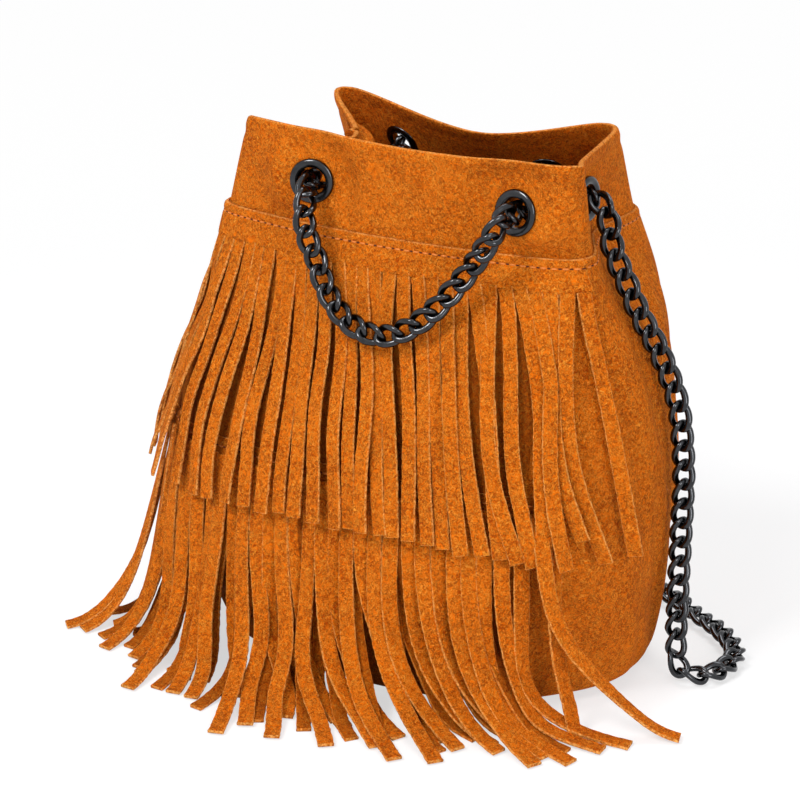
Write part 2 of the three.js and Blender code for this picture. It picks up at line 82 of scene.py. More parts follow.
# How far from a corner its two anchors stand, at each height
SETBACKS = {
    "frontRight": [30, 32, 32, 28, 18, 8, 8],
    "backRight": [30, 32, 32, 28, 18, 12, 9],
    "backLeft": [30, 32, 32, 28, 20, 12, 12],
    "frontLeft": [30, 32, 32, 26, 18, 12, 14],
}
RIM_SAG = {"front": 2, "right": 3, "backRight": 2, "back": 9, "backLeft": -1.5, "left": 6, "frontLeft": -2}
# Turns are counted from the middle of the front, anticlockwise from above
LEFT_CORNER = -2 / ANCHORS
RIGHT_CORNER = 2 / ANCHORS
# Unevenness of the suede: depth, waves round the bag, height of one wave, and phase
WAVES = [
    (0.9, 5, 150, 0.4), (0.7, 8, 95, 2.1), (0.55, 13, 70, 4.0), (0.4, 19, 120, 1.2), (0.3, 29, 45, 5.2),
]


def unit(vectors):
    return vectors / np.linalg.norm(vectors, axis=-1)[..., None]


def lengths_along(points):
    """How far each point is from the first, along the line."""
    return np.concatenate([[0], np.cumsum(np.linalg.norm(np.diff(points, axis=0), axis=1))])


def smooth(values, place):
    """A smooth curve through values at 0, 1, 2 and so on."""
    values = np.asarray(values, float)
    padded = np.concatenate([[2 * values[0] - values[1]], values, [2 * values[-1] - values[-2]]])
    start = np.clip(np.floor(place).astype(int), 0, len(values) - 2)
    t = place - start
    a, b, c, d = padded[start], padded[start + 1], padded[start + 2], padded[start + 3]
    return b + 0.5 * t * (c - a + t * (2 * a - 5 * b + 4 * c - d + t * (3 * (b - c) + d - a)))


PLACE_TABLE = np.linspace(0, len(HEIGHTS) - 1, 6001)
HEIGHT_TABLE = smooth(HEIGHTS, PLACE_TABLE)


def place_of(height):
    """Where a height lies among HEIGHTS."""
    return np.interp(height, HEIGHT_TABLE, PLACE_TABLE)


def anchors(place):
    """The anchors of the outlines at an array of places."""
    height = smooth(HEIGHTS, place)
    points = []
    for side in SIDES:
        x = smooth([p[0] for p in OUTLINES[side]], place)
        y = smooth([p[1] for p in OUTLINES[side]], place)
        sag = smooth([0] * (len(HEIGHTS) - 1) + [RIM_SAG.get(side, 0)], place)
        points.append(np.stack([x, y, height - sag], axis=-1))
    ring = []
    for i, side in enumerate(SIDES):
        if i % 2 == 0:
            ring.append(points[i])
            continue
        setback = smooth(SETBACKS[side], place)[:, None]
        for neighbour in (points[i - 1], points[(i + 1) % len(SIDES)]):
            ring.append(points[i] + unit(neighbour - points[i]) * setback)
    return np.stack(ring, axis=1)


def between(p0, p1, p2, p3, w):
    """The part from p1 to p2 of a centripetal curve through four points, at shares w of the way."""
    d0, d1, d2 = [
        np.sqrt(np.linalg.norm(b - a, axis=-1, keepdims=True)) for a, b in ((p0, p1), (p1, p2), (p2, p3))
    ]
    t1 = ((p1 - p0) / d0 - (p2 - p0) / (d0 + d1) + (p2 - p1) / d1) * d1
    t2 = ((p2 - p1) / d1 - (p3 - p1) / (d1 + d2) + (p3 - p2) / d2) * d1
    return p1 + w * (t1 + w * (-3 * p1 + 3 * p2 - 2 * t1 - t2 + w * (2 * p1 - 2 * p2 + t1 + t2)))


def outline(turn, place):
    """Points of the bare wall, for arrays of turns round it and places up it."""
    turn, place = np.broadcast_arrays(np.asarray(turn, float), np.asarray(place, float))
    levels, which = np.unique(place.ravel(), return_inverse=True)
    ring = anchors(levels)
    along = (turn.ravel() % 1) * ANCHORS
    first = np.floor(along).astype(int) % ANCHORS
    w = (along - np.floor(along))[:, None]
    near = [ring[which.ravel(), (first + k) % ANCHORS] for k in (-1, 0, 1, 2)]
    return between(*near, w).reshape(turn.shape + (3,))


def outwards(turn, place):
    """Level directions away from the wall."""
    step = 0.002
    along = outline(turn + step, place) - outline(turn - step, place)
    out = np.stack([along[..., 1], -along[..., 0], np.zeros(along.shape[:-1])], axis=-1)
    return unit(out)


def waves(turn, height):
    """Unevenness of the suede wall, outwards."""
    total = 0
    for depth, round_count, tall, phase in WAVES:
        total = total + depth * np.sin(2 * math.pi * (round_count * turn + height / tall) + phase)
    calm_above = np.clip((SEAM + 6 - height) / 30, 0.15, 1)
    calm_below = np.clip(height / 25, 0.2, 1)
    return total * (calm_above * calm_below)


def wall(turn, height, offset=0.0):
    """Points of the uneven wall at arrays of turns and nominal heights, moved outwards."""
    turn, height = np.broadcast_arrays(np.asarray(turn, float), np.asarray(height, float))
    place = place_of(height)
    out = outwards(turn, place)
    return outline(turn, place) + out * (np.asarray(offset) + waves(turn, height))[..., None]


def turn_table(height):
    """Turns and distances round the outline at one height, for spacing things evenly."""
    turns = np.linspace(-0.5, 0.5, 2001)
    return turns, lengths_along(outline(turns, place_of(height)))


def turns_between(height, start, end, count):
    """The middles of count equal parts of the wall between two turns, and the length of one part."""
    turns, distances = turn_table(height)
    low, high = np.interp([start, end], turns, distances)
    pitch = (high - low) / count
    return np.interp(low + pitch * (np.arange(count) + 0.5), distances, turns), pitch


def turn_beside(height, turn, distance):
    """The turn that is a distance round the wall from another one."""
    turns, distances = turn_table(height)
    return float(np.interp(np.interp(turn, turns, distances) + distance, distances, turns))


# Materials
def colour(red, green, blue):
    """A colour as seen on a screen, from 0 to 255, as the linear numbers Blender wants."""
    channels = [c / 255 for c in (red, green, blue)]
    return tuple(c / 12.92 if c <= 0.04045 else ((c + 0.055) / 1.055) ** 2.4 for c in channels) + (1,)


class Nodes:
    """A new material and short ways to add nodes to it."""

    def __init__(self, name):
        self.material = bpy.data.materials.new(name)
        self.material.use_nodes = True
        self.tree = self.material.node_tree
        self.shader = self.tree.nodes["Principled BSDF"]

    def add(self, kind, **values):
        node = self.tree.nodes.new(kind)
        for key, value in values.items():
            if hasattr(node, key):
                setattr(node, key, value)
            else:
                node.inputs[key.replace("_", " ")].default_value = value
        return node

    def link(self, out, into):
        self.tree.links.new(out, into)

    def set(self, **values):
        for key, value in values.items():
            self.shader.inputs[key.replace("_", " ")].default_value = value

    def noise(self, scale, detail=3.0, distortion=0.0):
        node = self.add("ShaderNodeTexNoise", Scale=scale, Detail=detail, Distortion=distortion)
        self.link(self.position(), node.inputs["Vector"])
        return node.outputs["Fac"]

    def position(self):
        return self.add("ShaderNodeTexCoord").outputs["Object"]

    def ramp(self, source, low, high, start=0.0, end=1.0):
        node = self.add("ShaderNodeMapRange", From_Min=low, From_Max=high, To_Min=start, To_Max=end)
        self.link(source, node.inputs["Value"])
        return node.outputs["Result"]

    def math(self, operation, a, b):
        node = self.add("ShaderNodeMath", operation=operation)
        for source, socket in ((a, node.inputs[0]), (b, node.inputs[1])):
            if isinstance(source, (int, float)):
                socket.default_value = source
            else:
                self.link(source, socket)
        return node.outputs[0]

    def ridges(self, field, width):
        """Thin bright lines where a noise field crosses its middle value."""
        away = self.math("ABSOLUTE", self.math("SUBTRACT", field, 0.5), 0)
        return self.ramp(away, 0.0, width, 1.0, 0.0)

    def mix(self, factor, a, b):
        node = self.add("ShaderNodeMix", data_type="RGBA")
        sockets = [s for s in node.inputs if s.type == "RGBA"]
        for source, socket in ((a, sockets[0]), (b, sockets[1])):
            if isinstance(source, tuple):
                socket.default_value = source
            else:
                self.link(source, socket)
        self.link(factor, node.inputs["Factor"])
        return [s for s in node.outputs if s.type == "RGBA"][0]

    def bump(self, height, strength, distance, normal=None):
        node = self.add("ShaderNodeBump", Strength=strength, Distance=distance)
        self.link(height, node.inputs["Height"])
        if normal is not None:
            self.link(normal, node.inputs["Normal"])
        return node.outputs["Normal"]


# Scales of the suede's noise fields, as patterns in a metre
PATCHES = 30
CURLS = 290
FINE_CURLS = 560
FUZZ = 900
NAP = 1500
# Painted shade: the dark brown put on suede under a fringe, and how much of it a full painted shade has
SHADED = (84, 30, 0)
SHADED_SHARE = 0.8


def suede(name, base, dark, light, cut):
    """Suede: brushed patches, short curly nap with painted highlights on its curls, paler fuzzy cut edges, a
    soft sheen and painted shade.
    """
    m = Nodes(name)
    patches = m.ramp(m.noise(PATCHES, 3, 0.5), 0.33, 0.7)
    curls = m.ridges(m.noise(CURLS, 2.0, 2.2), 0.04)
    fine_curls = m.ridges(m.noise(FINE_CURLS, 2.0, 2.4), 0.055)
    shade = m.ramp(m.noise(FINE_CURLS, 2.5, 1.2), 0.36, 0.64)
    nap = m.noise(NAP, 3, 0.8)
    tone = m.math("ADD", m.math("MULTIPLY", patches, 0.24), m.math("MULTIPLY", shade, 0.6))
    tone = m.math("ADD", tone, m.ramp(nap, 0.3, 0.7, -0.14, 0.34))
    body = m.mix(m.ramp(tone, 0.12, 0.72), dark, base)
    # Painted highlight: the raised curls of the nap pattern are painted towards the light colour
    curl_highlight = m.math("ADD", m.math("MULTIPLY", curls, 0.78), m.math("MULTIPLY", fine_curls, 0.5))
    body = m.mix(m.math("MULTIPLY", curl_highlight, m.ramp(tone, 0.0, 0.9, 0.45, 1.15)), body, light)
    surface = m.add("ShaderNodeAttribute", attribute_name="cut").outputs["Fac"]
    edge = m.ramp(surface, 0, 1)
    # Painted shade: below 0 the cut attribute darkens the suede towards SHADED
    body = m.mix(m.ramp(surface, -1, 0, SHADED_SHARE, 0.0), body, colour(*SHADED))
    fuzz = m.ramp(m.noise(FUZZ, 2, 0.5), 0.42, 0.58, 0.15, 1.0)
    body = m.mix(m.math("MULTIPLY", edge, fuzz), body, cut)
    m.link(body, m.shader.inputs["Base Color"])
    m.set(Roughness=0.92, Specular_IOR_Level=0.06)
    m.set(Sheen_Weight=0.06, Sheen_Roughness=0.5, Sheen_Tint=colour(255, 160, 70))
    relief = m.math("ADD", m.math("MULTIPLY", curls, 0.8), m.math("MULTIPLY", fine_curls, 0.5))
    relief = m.math("ADD", relief, m.math("MULTIPLY", shade, 0.7))
    dents = m.bump(m.noise(26, 2, 1.0), 0.5, 0.009)
    curled = m.bump(relief, 0.8, 0.0007, dents)
    napped = m.bump(nap, 0.5, 0.0003, curled)
    m.link(napped, m.shader.inputs["Normal"])
    return m.material


def gunmetal(name, base, roughness):
    """Dark plated metal with faint smudges."""
    m = Nodes(name)
    smudge = m.noise(260, 4, 0.4)
    tint = m.mix(m.ramp(smudge, 0.35, 0.7), base, tuple(c * 1.5 for c in base[:3]) + (1,))
    m.link(tint, m.shader.inputs["Base Color"])
    m.link(m.ramp(smudge, 0.3, 0.7, roughness * 0.8, roughness * 1.35), m.shader.inputs["Roughness"])
    m.set(Metallic=1)
    m.link(m.bump(m.noise(900, 3), 0.05, 0.0002), m.shader.inputs["Normal"])
    return m.material


SUEDE = suede("suede", colour(220, 104, 5), colour(146, 54, 0), colour(255, 166, 58), colour(255, 180, 96))
DARK_SUEDE = suede(
    "suede_dark", colour(176, 80, 10), colour(112, 44, 2), colour(212, 112, 36), colour(226, 140, 74),
)
GUNMETAL = gunmetal("gunmetal", (0.04, 0.041, 0.044, 1), 0.18)
# Painted shade: dark brown for the capsules between stitches, which stand in for the shade of the stitch
# valley and needle holes
gap_shade_nodes = Nodes("stitch_gap_shade")
gap_shade_nodes.set(Base_Color=colour(84, 32, 2), Roughness=1.0)
GAP_SHADE = gap_shade_nodes.material
thread_nodes = Nodes("thread")
thread_nodes.link(
    thread_nodes.mix(thread_nodes.noise(1800, 2), colour(184, 92, 20), colour(232, 140, 58)),
    thread_nodes.shader.inputs["Base Color"],
)
thread_nodes.set(Roughness=0.8)
THREAD = thread_nodes.material


# Mesh helpers
def make_piece(name, vertices, faces, material, replaces=(), cut=None):
    """A piece that rides on the bag. cut is above 0 on cut edges and below 0 where shade is painted on the
    suede.
    """
    mesh = bpy.data.meshes.new(name)
    mesh.from_pydata((np.asarray(vertices) * MM).tolist(), [], [tuple(f) for f in faces])
    mesh.update()
    mesh.polygons.foreach_set("use_smooth", [True] * len(mesh.polygons))
    if cut is not None:
        layer = mesh.attributes.new("cut", "FLOAT", "POINT")
        layer.data.foreach_set("value", np.asarray(cut, float))
    mesh.materials.append(material)
    obj = bpy.data.objects.new(name, mesh)
    bpy.context.scene.collection.objects.link(obj)
    if replaces:
        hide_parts(*replaces)
    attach(obj, BODY)
    return obj


def sheet_mesh(outer, inner, present=None, ring=False):
    """A thick sheet on a grid whose rows run down and whose columns run anticlockwise."""
    rows, columns = outer.shape[:2]
    cells = np.ones((rows - 1, columns if ring else columns - 1), bool) if present is None else present
    count = rows * columns

    def at(r, c):
        return r * columns + c % columns

    r, c = np.nonzero(cells)
    corners = [at(r, c), at(r + 1, c), at(r + 1, c + 1), at(r, c + 1)]
    quads = [np.stack(corners, axis=1), np.stack([corners[k] for k in (0, 3, 2, 1)], axis=1) + count]
    padded = np.pad(cells, 1)
    if ring:
        padded[:, 0], padded[:, -1] = padded[:, -2], padded[:, 1]
    # An edge face wherever the next cell to the left, below, to the right or above is missing
    for k, (down, right) in enumerate(((0, -1), (1, 0), (0, 1), (-1, 0))):
        missing = ~padded[r + 1 + down, c + 1 + right]
        a, b = corners[k][missing], corners[(k + 1) % 4][missing]
        quads.append(np.stack([a, a + count, b + count, b], axis=1))
    faces = np.concatenate(quads)
    vertices = np.concatenate([outer.reshape(-1, 3), inner.reshape(-1, 3)])
    used, faces = np.unique(faces, return_inverse=True)
    return vertices[used], faces.reshape(-1, 4), used


def tube_faces(rows, size, closed=False, flipped=False):
    """Faces round rows of size points each, in a closed ring or with a cap at both ends."""
    faces = []
    for i in range(rows if closed else rows - 1):
        j = (i + 1) % rows
        for k in range(size):
            n = (k + 1) % size
            face = (i * size + k, j * size + k, j * size + n, i * size + n)
            faces.append((face[0], *face[:0:-1]) if flipped else face)
    if not closed:
        first, last = range(size), range((rows - 1) * size, rows * size)
        faces += [tuple(reversed(first)), tuple(last)] if flipped else [tuple(first), tuple(reversed(last))]
    return faces


class Collected:
    """Meshes gathered into one piece."""

    def __init__(self):
        self.vertices = []
        self.faces = []
        self.cut = []

    def add(self, vertices, faces, cut=None):
        start = len(self.vertices)
        self.vertices.extend(np.asarray(vertices).tolist())
        self.faces.extend(tuple(int(i) + start for i in f) for f in faces)
        self.cut.extend([0.0] * len(vertices) if cut is None else list(cut))


# Section of a strip: across and through, from -1 to 1, and how much of it is cut edge
STRIP_SECTION = [
    (-0.94, 1.0, 0.55), (-0.85, 1.04, 0.0), (0.0, 1.08, 0.0), (0.85, 1.04, 0.0), (0.94, 1.0, 0.55),
    (1.0, 0.55, 1.0), (1.0, -0.55, 1.0), (0.94, -1.0, 0.55), (0.0, -1.0, 0.0), (-0.94, -1.0, 0.55),
    (-1.0, -0.55, 1.0), (-1.0, 0.55, 1.0),
]
STRIP_THICKNESS = 1.4
RAGGED = 0.17


def ribbon(middles, across, facing, width, rng):
    """A strip of suede along middles. Its cut edges are slightly ragged."""
    count = len(middles)
    size = len(STRIP_SECTION)
    width = np.broadcast_to(width, (count,))
    vertices = np.zeros((count, size, 3))
    left = np.array([rng.uniform(-RAGGED, RAGGED) for _ in range(count)])
    right = np.array([rng.uniform(-RAGGED, RAGGED) for _ in range(count)])
    for k, (u, v, _) in enumerate(STRIP_SECTION):
        rough = (right if u > 0 else -left) * (abs(u) > 0.9)
        side = (u * width / 2 + rough)[:, None]
        vertices[:, k] = middles + across * side + facing * (v * STRIP_THICKNESS / 2)
    cut = np.tile([s[2] for s in STRIP_SECTION], (count, 1))
    cut[-1] = 1.0
    return vertices.reshape(-1, 3), tube_faces(count, size), cut.ravel()


def resampled(points, spacing, last=0.35):
    """Points evenly spaced along a line, with one extra just before its end."""
    steps = lengths_along(points)
    count = max(4, int(round(steps[-1] / spacing)))
    wanted = np.append(np.linspace(0, steps[-1] - last, count), steps[-1])
    return np.stack([np.interp(wanted, steps, points[:, k]) for k in range(3)], axis=1), wanted / steps[-1]


# Eyelet frames
BAND_THICKNESS = 2.4
# Each eyelet's anchor round the bag and how far down the band it is, as a share of its height
EYELETS = {
    "front_left": (-0.43, 0.55), "front_right": (0.62, 0.55), "side_right": (3, 0.57),
    "back_right": (5.6, 0.63), "back_left": (6.6, 0.52), "side_left": (9, 0.57),
}
# Where the chain pulls an eyelet round, its face's direction: degrees right of the front, and up
PULLED = {"front_left": (17, 1), "front_right": (-6, 6), "side_right": (88, 2)}


def eyelet_frame(name):
    """The eyelet's middle on the band's outer face, and its three directions."""
    twelfths, drop = EYELETS[name]
    turn, place = twelfths / ANCHORS, float(place_of(RIM - drop * (RIM - SEAM)))
    middle = outline(turn, place)
    across = outline(turn + 0.02, place) - outline(turn - 0.02, place)
    up = outline(turn, place + 0.15) - outline(turn, place - 0.15)
    out = np.cross(across, up)
    if name in PULLED:
        azimuth, elevation = (math.radians(a) for a in PULLED[name])
        level = math.cos(elevation)
        out = np.array([level * math.sin(azimuth), -level * math.cos(azimuth), math.sin(elevation)])
        across = np.cross([0, 0, 1], out)
    out = unit(out)
    across = unit(across - out * across.dot(out))
    return middle, across, np.cross(out, across), out


FRAMES = {name: eyelet_frame(name) for name in EYELETS}


def placed(points, name):
    """Points of an eyelet's own frame, moved to where the eyelet is."""
    middle, across, up, out = FRAMES[name]
    return middle + points @ np.stack([across, up, out])


# Top band
BAND_COLUMNS = 420
BAND_HOLE = 7.0
# An eyelet presses the band flat up to PRESSED_TO from its middle, and not from PRESSED_FROM on
PRESSED_TO = 10.6
PRESSED_FROM = {
    "front_left": 30, "front_right": 30, "side_right": 17, "back_right": 20, "back_left": 20, "side_left": 15,
}
# The pressing fades out over this height above the seam
FADE = 8
FURTHEST_PRESS = 7
# The rim's roll and the groove under it: size, distance below the rim, and spread
RIM_ROLL = (0.35, 3.2, 2.2)
RIM_GROOVE = (0.3, 8, 2.0)


def bump_at(distances, size, middle, spread):
    """A soft ridge of a given size across an array of distances."""
    return size * np.exp(-(((distances - middle) / spread) ** 2))


def top_band():
    """The cuff, folded over at the rim and pierced at each eyelet."""
    turns = np.arange(BAND_COLUMNS) / BAND_COLUMNS
    rounding = BAND_THICKNESS / 2
    flat = np.linspace(SEAM - OVERLAP, RIM - rounding, 42)
    arcs = np.radians([15, 30, 45, 60, 75, 86])
    heights = np.concatenate([flat, RIM - rounding + rounding * np.sin(arcs)])[::-1]
    bulge = np.concatenate([np.ones(len(flat)), np.cos(arcs)])[::-1]
    puff = bump_at(RIM - heights, *RIM_ROLL) - bump_at(RIM - heights, *RIM_GROOVE)
    grid_turn, grid_height = np.meshgrid(turns, heights)
    middle = wall(grid_turn, grid_height, -rounding)
    out = outwards(grid_turn, place_of(grid_height))
    outer = middle + out * (rounding * bulge + puff)[:, None, None]
    inner = middle - out * (rounding * bulge + 0.5 * puff)[:, None, None]
    hole = np.zeros(grid_turn.shape, bool)
    for name in EYELETS:
        centre, across, up, face = FRAMES[name]
        away = middle - centre
        radial = np.linalg.norm(away - (away @ face)[..., None] * face, axis=-1)
        pressed_from = PRESSED_FROM[name]
        near = (np.linalg.norm(away, axis=-1) < pressed_from + 6) & (out @ face > 0.3)
        weight = np.clip((pressed_from - radial) / (pressed_from - PRESSED_TO), 0, 1)
        weight = np.where(near, weight * weight * (3 - 2 * weight), 0)
        weight = weight * np.clip((grid_height - SEAM - 1) / FADE, 0, 1)
        for side, depth in ((outer, 0.0), (inner, -BAND_THICKNESS)):
            reach = (depth - (side - centre) @ face) / np.where(near, out @ face, 1)
            side += out * (weight * np.clip(reach, -FURTHEST_PRESS, FURTHEST_PRESS))[..., None]
        hole |= near & (radial < BAND_HOLE)
    beside = np.roll(hole, -1, axis=1)
    present = ~(hole[:-1] & hole[1:] & beside[:-1] & beside[1:])
    vertices, faces, used = sheet_mesh(outer, inner, present, ring=True)
    worn = np.where(grid_height > RIM - 0.45, 0.55, 0).ravel()
    cut = np.concatenate([worn, worn])
    make_piece("band", vertices, faces, SUEDE, ["top_band"], cut[used])


# Body and base
BODY_COLUMNS = 330
BODY_ROWS = 112
BODY_SKIN = 1.4
# How far a stitch line is below its edge
STITCH_DROP = 4.0
# A sewn edge's ridge and the valley along its stitches: size, distance below the edge, and spread
SEWN_RIDGE = (0.28, 1.7, 1.3)
SEWN_VALLEY = (0.4, STITCH_DROP, 0.7)
# A header is pressed onto the wall at its edge, and further off it from PRESSED_DEPTH below
PRESSED_LIFT = 0.8
FURTHER_OFF = 0.95
PRESSED_DEPTH = 12
# Painted shade on the suede under the fringes: on the wall, on the lower header and on the strips behind
UNDER_SHADE = 0.75
HEADER_SHADE = 0.55
BEHIND_SHADE = 0.45


def seam_profile(below):
    """A sewn edge: a low padded ridge above the stitch line and a valley along it."""
    return bump_at(below, *SEWN_RIDGE) - bump_at(below, *SEWN_VALLEY)


def header_lift(below):
    """How far a header's inner face is off the wall."""
    return PRESSED_LIFT + FURTHER_OFF * np.clip(below / PRESSED_DEPTH, 0, 1)


def body_shell():
    """The wall, pressed in under the upper header, tucked in at the foot, and with painted shade under the
    fringes.
    """
    turns = np.arange(BODY_COLUMNS) / BODY_COLUMNS
    near_seam = np.linspace(SEAM, SEAM - 12, 22)
    foot = np.linspace(7, 0, 10)
    heights = np.concatenate([near_seam, np.linspace(SEAM - 14, 9, BODY_ROWS - 32), foot])
    grid_turn, grid_height = np.meshgrid(turns, heights)
    sewn = seam_profile(SEAM - heights)
    start, end = reach_turns(SEAM)
    round_turn = (turns + 0.5) % 1 - 0.5
    covered = (round_turn > start + 0.003) & (round_turn < end - 0.003)
    depth = -FURTHER_OFF * np.clip(1 - (SEAM - heights) / PRESSED_DEPTH, 0, 1)
    pressed = np.where(covered[None, :], depth[:, None], 0)
    pressed = pressed - np.where(covered[None, :], sewn[:, None], 0)
    tuck = -2.6 * np.clip((6 - heights) / 6, 0, 1) ** 2
    edge = np.clip((SEAM - heights) / 0.6, 0.55, 1)
    outer = wall(grid_turn, grid_height, ((0.15 + BODY_SKIN * edge) + sewn + tuck)[:, None] + pressed)
    inner = wall(grid_turn, grid_height, (0.1 + tuck)[:, None] + np.zeros(grid_turn.shape))
    vertices, faces, used = sheet_mesh(outer, inner, ring=True)
    # Painted shade where the fringes cover the wall
    under = (round_turn > start + 0.012) & (round_turn < end - 0.03)
    cut = np.where(under[None, :] & (grid_height < SEAM - UPPER_HEADER - 4), -UNDER_SHADE, 0).ravel()
    cut = np.concatenate([cut, np.zeros(grid_turn.size)])
    cut[:BODY_COLUMNS] = 0.8
    make_piece("body", vertices, faces, SUEDE, ["body_shell"], cut[used])


def base_panel():
    """The flat bottom, a panel of darker suede with a rounded edge."""
    turns = np.arange(160) / 160
    # Distance from the wall and height of each ring, from the top side down to the underside
    edge = [(-2.9, 2.4), (-2.5, 2.0), (-2.4, 1.2), (-2.5, 0.5), (-3.0, 0.1), (-8, 0.05), (-30, 0.05)]
    rings = []
    for offset, height in edge:
        ring = wall(turns, np.zeros(turns.shape), offset)
        ring[:, 2] = height
        rings.append(ring)
    middle = np.array([-5, -3, 0])
    inner_rings = [middle + (rings[0] - middle) * scale for scale in (0.6, 0.15)]
    for ring in inner_rings:
        ring[:, 2] = 2.4
    under = [middle + (rings[-1] - middle) * 0.2]
    under[0][:, 2] = 0.05
    stack = inner_rings[::-1] + rings + under
    faces = tube_faces(len(stack), len(turns))
    make_piece("base", np.concatenate(stack), faces, DARK_SUEDE, ["base_panel"])


# Upper fringe
UPPER_HEADER = 14
UPPER_COUNT = 31
# How far the fringe reaches past each front corner, at the seam and at the strips' ends
LEFT_REACH = (2, -5)
RIGHT_REACH = (-6, 4)
# Where each upper strip ends: twelfths of a turn round the wall, and height
UPPER_ENDS = [
    (-1.95, 84), (-1.72, 84), (-1.5, 85), (-1.23, 80), (-0.98, 80), (-0.83, 79), (-0.72, 80), (-0.6, 81),
    (-0.51, 82), (-0.4, 82), (-0.32, 83), (-0.25, 83), (-0.15, 83), (-0.05, 82), (0.03, 83), (0.13, 84),
    (0.24, 84), (0.31, 84), (0.4, 84), (0.5, 83), (0.59, 82), (0.7, 81), (0.82, 81), (0.93, 80), (1.03, 79),
    (1.14, 77), (1.24, 77), (1.37, 76), (1.49, 88), (1.7, 76), (2.0, 76),
]
HEM = 82
# The first strips stand off the wall at their ends, and the last ones are turned edge on
FLARED = 4
TURNED = 3


def reach_turns(height, right_reach=RIGHT_REACH):
    """The turns between which a fringe covers the wall at a height."""
    down = (SEAM - height) / (SEAM - HEM)
    left = LEFT_REACH[0] + down * (LEFT_REACH[1] - LEFT_REACH[0])
    right = right_reach[0] + down * (right_reach[1] - right_reach[0])
    return turn_beside(height, LEFT_CORNER, -left), turn_beside(height, RIGHT_CORNER, right)


def header(gathered, top, bottom, columns, right_reach=RIGHT_REACH, shade=0.0):
    """The uncut top of a fringe, sewn along a line just below its edge, with painted shade of the amount
    shade.
    """
    heights = np.concatenate([np.linspace(top, top - 8, 16), np.linspace(top - 9, bottom, 6)])
    outer, inner = [], []
    for height in heights:
        start, end = reach_turns(height, right_reach)
        turns = np.linspace(start, end, columns)
        below = top - height
        sewn = seam_profile(below)
        edge = min(1.0, 0.6 + below / 0.8)
        lift = header_lift(below)
        outer.append(wall(turns, np.full(columns, height), lift + sewn + STRIP_THICKNESS * edge))
        inner.append(wall(turns, np.full(columns, height), lift))
    outer, inner = np.array(outer), np.array(inner)
    vertices, faces, used = sheet_mesh(outer, inner)
    # Painted shade over the header, apart from the cut edges set below
    cut = np.full(2 * outer.shape[0] * columns, -shade)
    cut[:columns] = 1.0
    cut[columns::columns] = 0.5
    cut[columns - 1::columns] = 0.8
    gathered.add(vertices, faces, cut[used])


def wall_strip(gathered, rng, start, end, top, bottom, lift, flare, curve, width, layer, sway, twist, bow):
    """A strip that hangs against the wall and flares away from it towards its end."""
    t = np.linspace(0, 1, 60)
    heights = top + (bottom - top) * t
    turns = start + (end - start) * (t + bow * np.sin(math.pi * t))
    turns = turns + sway * 0.001 * np.sin(2 * math.pi * t * 1.1 + 7 * sway)
    rise = flare * t ** curve + layer * np.clip((t - 0.02) / 0.2, 0, 1) + 0.4 * np.sin(9 * t + 5 * sway) * t
    line = wall(turns, heights, lift + STRIP_THICKNESS / 2 + rise)
    middles, at = resampled(line, 1.3)
    turns_at = np.interp(at, t, turns)
    heights_at = np.interp(at, t, heights)
    along = unit(np.gradient(middles, axis=0))
    out = outwards(turns_at, place_of(heights_at))
    across = unit(np.cross(out, along))
    facing = unit(np.cross(along, across))
    angle = twist * np.clip((at - 0.12) / 0.88, 0, 1) ** 1.2
    turned = across * np.cos(angle)[:, None] + facing * np.sin(angle)[:, None]
    facing = unit(np.cross(along, turned))
    out_sign = np.sign(np.sum(facing * out, axis=1).mean())
    slit = rng.uniform(0.0, 0.17)
    narrowing = np.clip((at - slit) / 0.16, 0, 1)
    widths = width * (1 - 0.05 * narrowing + 0.07 * np.clip((at - 0.35) / 0.5, 0, 1))
    vertices, faces, cut = ribbon(middles, turned, facing * out_sign, widths, rng)
    if out_sign < 0:
        faces = [tuple(reversed(f)) for f in faces]
    gathered.add(vertices, faces, cut)


def upper_fringe():
    rng = random.Random(11)
    gathered = Collected()
    slit_top = SEAM - UPPER_HEADER
    header(gathered, SEAM, slit_top, 260)
    start, end = reach_turns(slit_top)
    starts, pitch = turns_between(slit_top, start, end, UPPER_COUNT)
    for i, (turn_end, height_end) in enumerate(UPPER_ENDS):
        flared = i < FLARED
        turned = i >= UPPER_COUNT - TURNED
        wall_strip(
            gathered, rng, starts[i], turn_end / ANCHORS, slit_top + 0.4, height_end,
            lift=1.77, flare=10 if flared else 5.5, curve=2.6 if flared else 1.3, width=pitch + 0.02,
            layer=1.5 * ((i * 7) % 3 == 0) + (0.8 if i % 2 else 0), sway=rng.uniform(-1, 1),
            twist=rng.uniform(-0.22, 0.22) + (0.9 if turned else 0), bow=rng.uniform(-0.12, 0.12),
        )
    piece = make_piece(
        "fringe_top", gathered.vertices, gathered.faces, SUEDE, ["fringe_upper"], gathered.cut,
    )


# Lower fringe
LOWER_TOP = 106
LOWER_HEADER = 8
LOWER_COUNT = 33
LOWER_RIGHT_REACH = (-30, -30)
LOWER_LIFT = 1.55
# Height of a lying strip's underside above the floor
LYING = 0.2
# Where each lower strip ends on the floor, from the left round to the right
LOWER_TIPS = [
    (-160, -95), (-150, -95), (-140, -84), (-129, -105), (-111, -106), (-99, -116), (-95, -131), (-78, -112),
    (-75, -124), (-65, -124), (-48, -112), (-37, -144), (-30, -132), (-19, -117), (-14, -135), (8, -111),
    (10, -129), (29, -119), (33, -107), (41, -124), (50, -102), (57, -117), (60, -103), (71, -92), (76, -96),
    (86, -84), (94, -98), (95, -90), (106, -88), (113, -72), (121, -62), (137, -46), (100, -68),
]
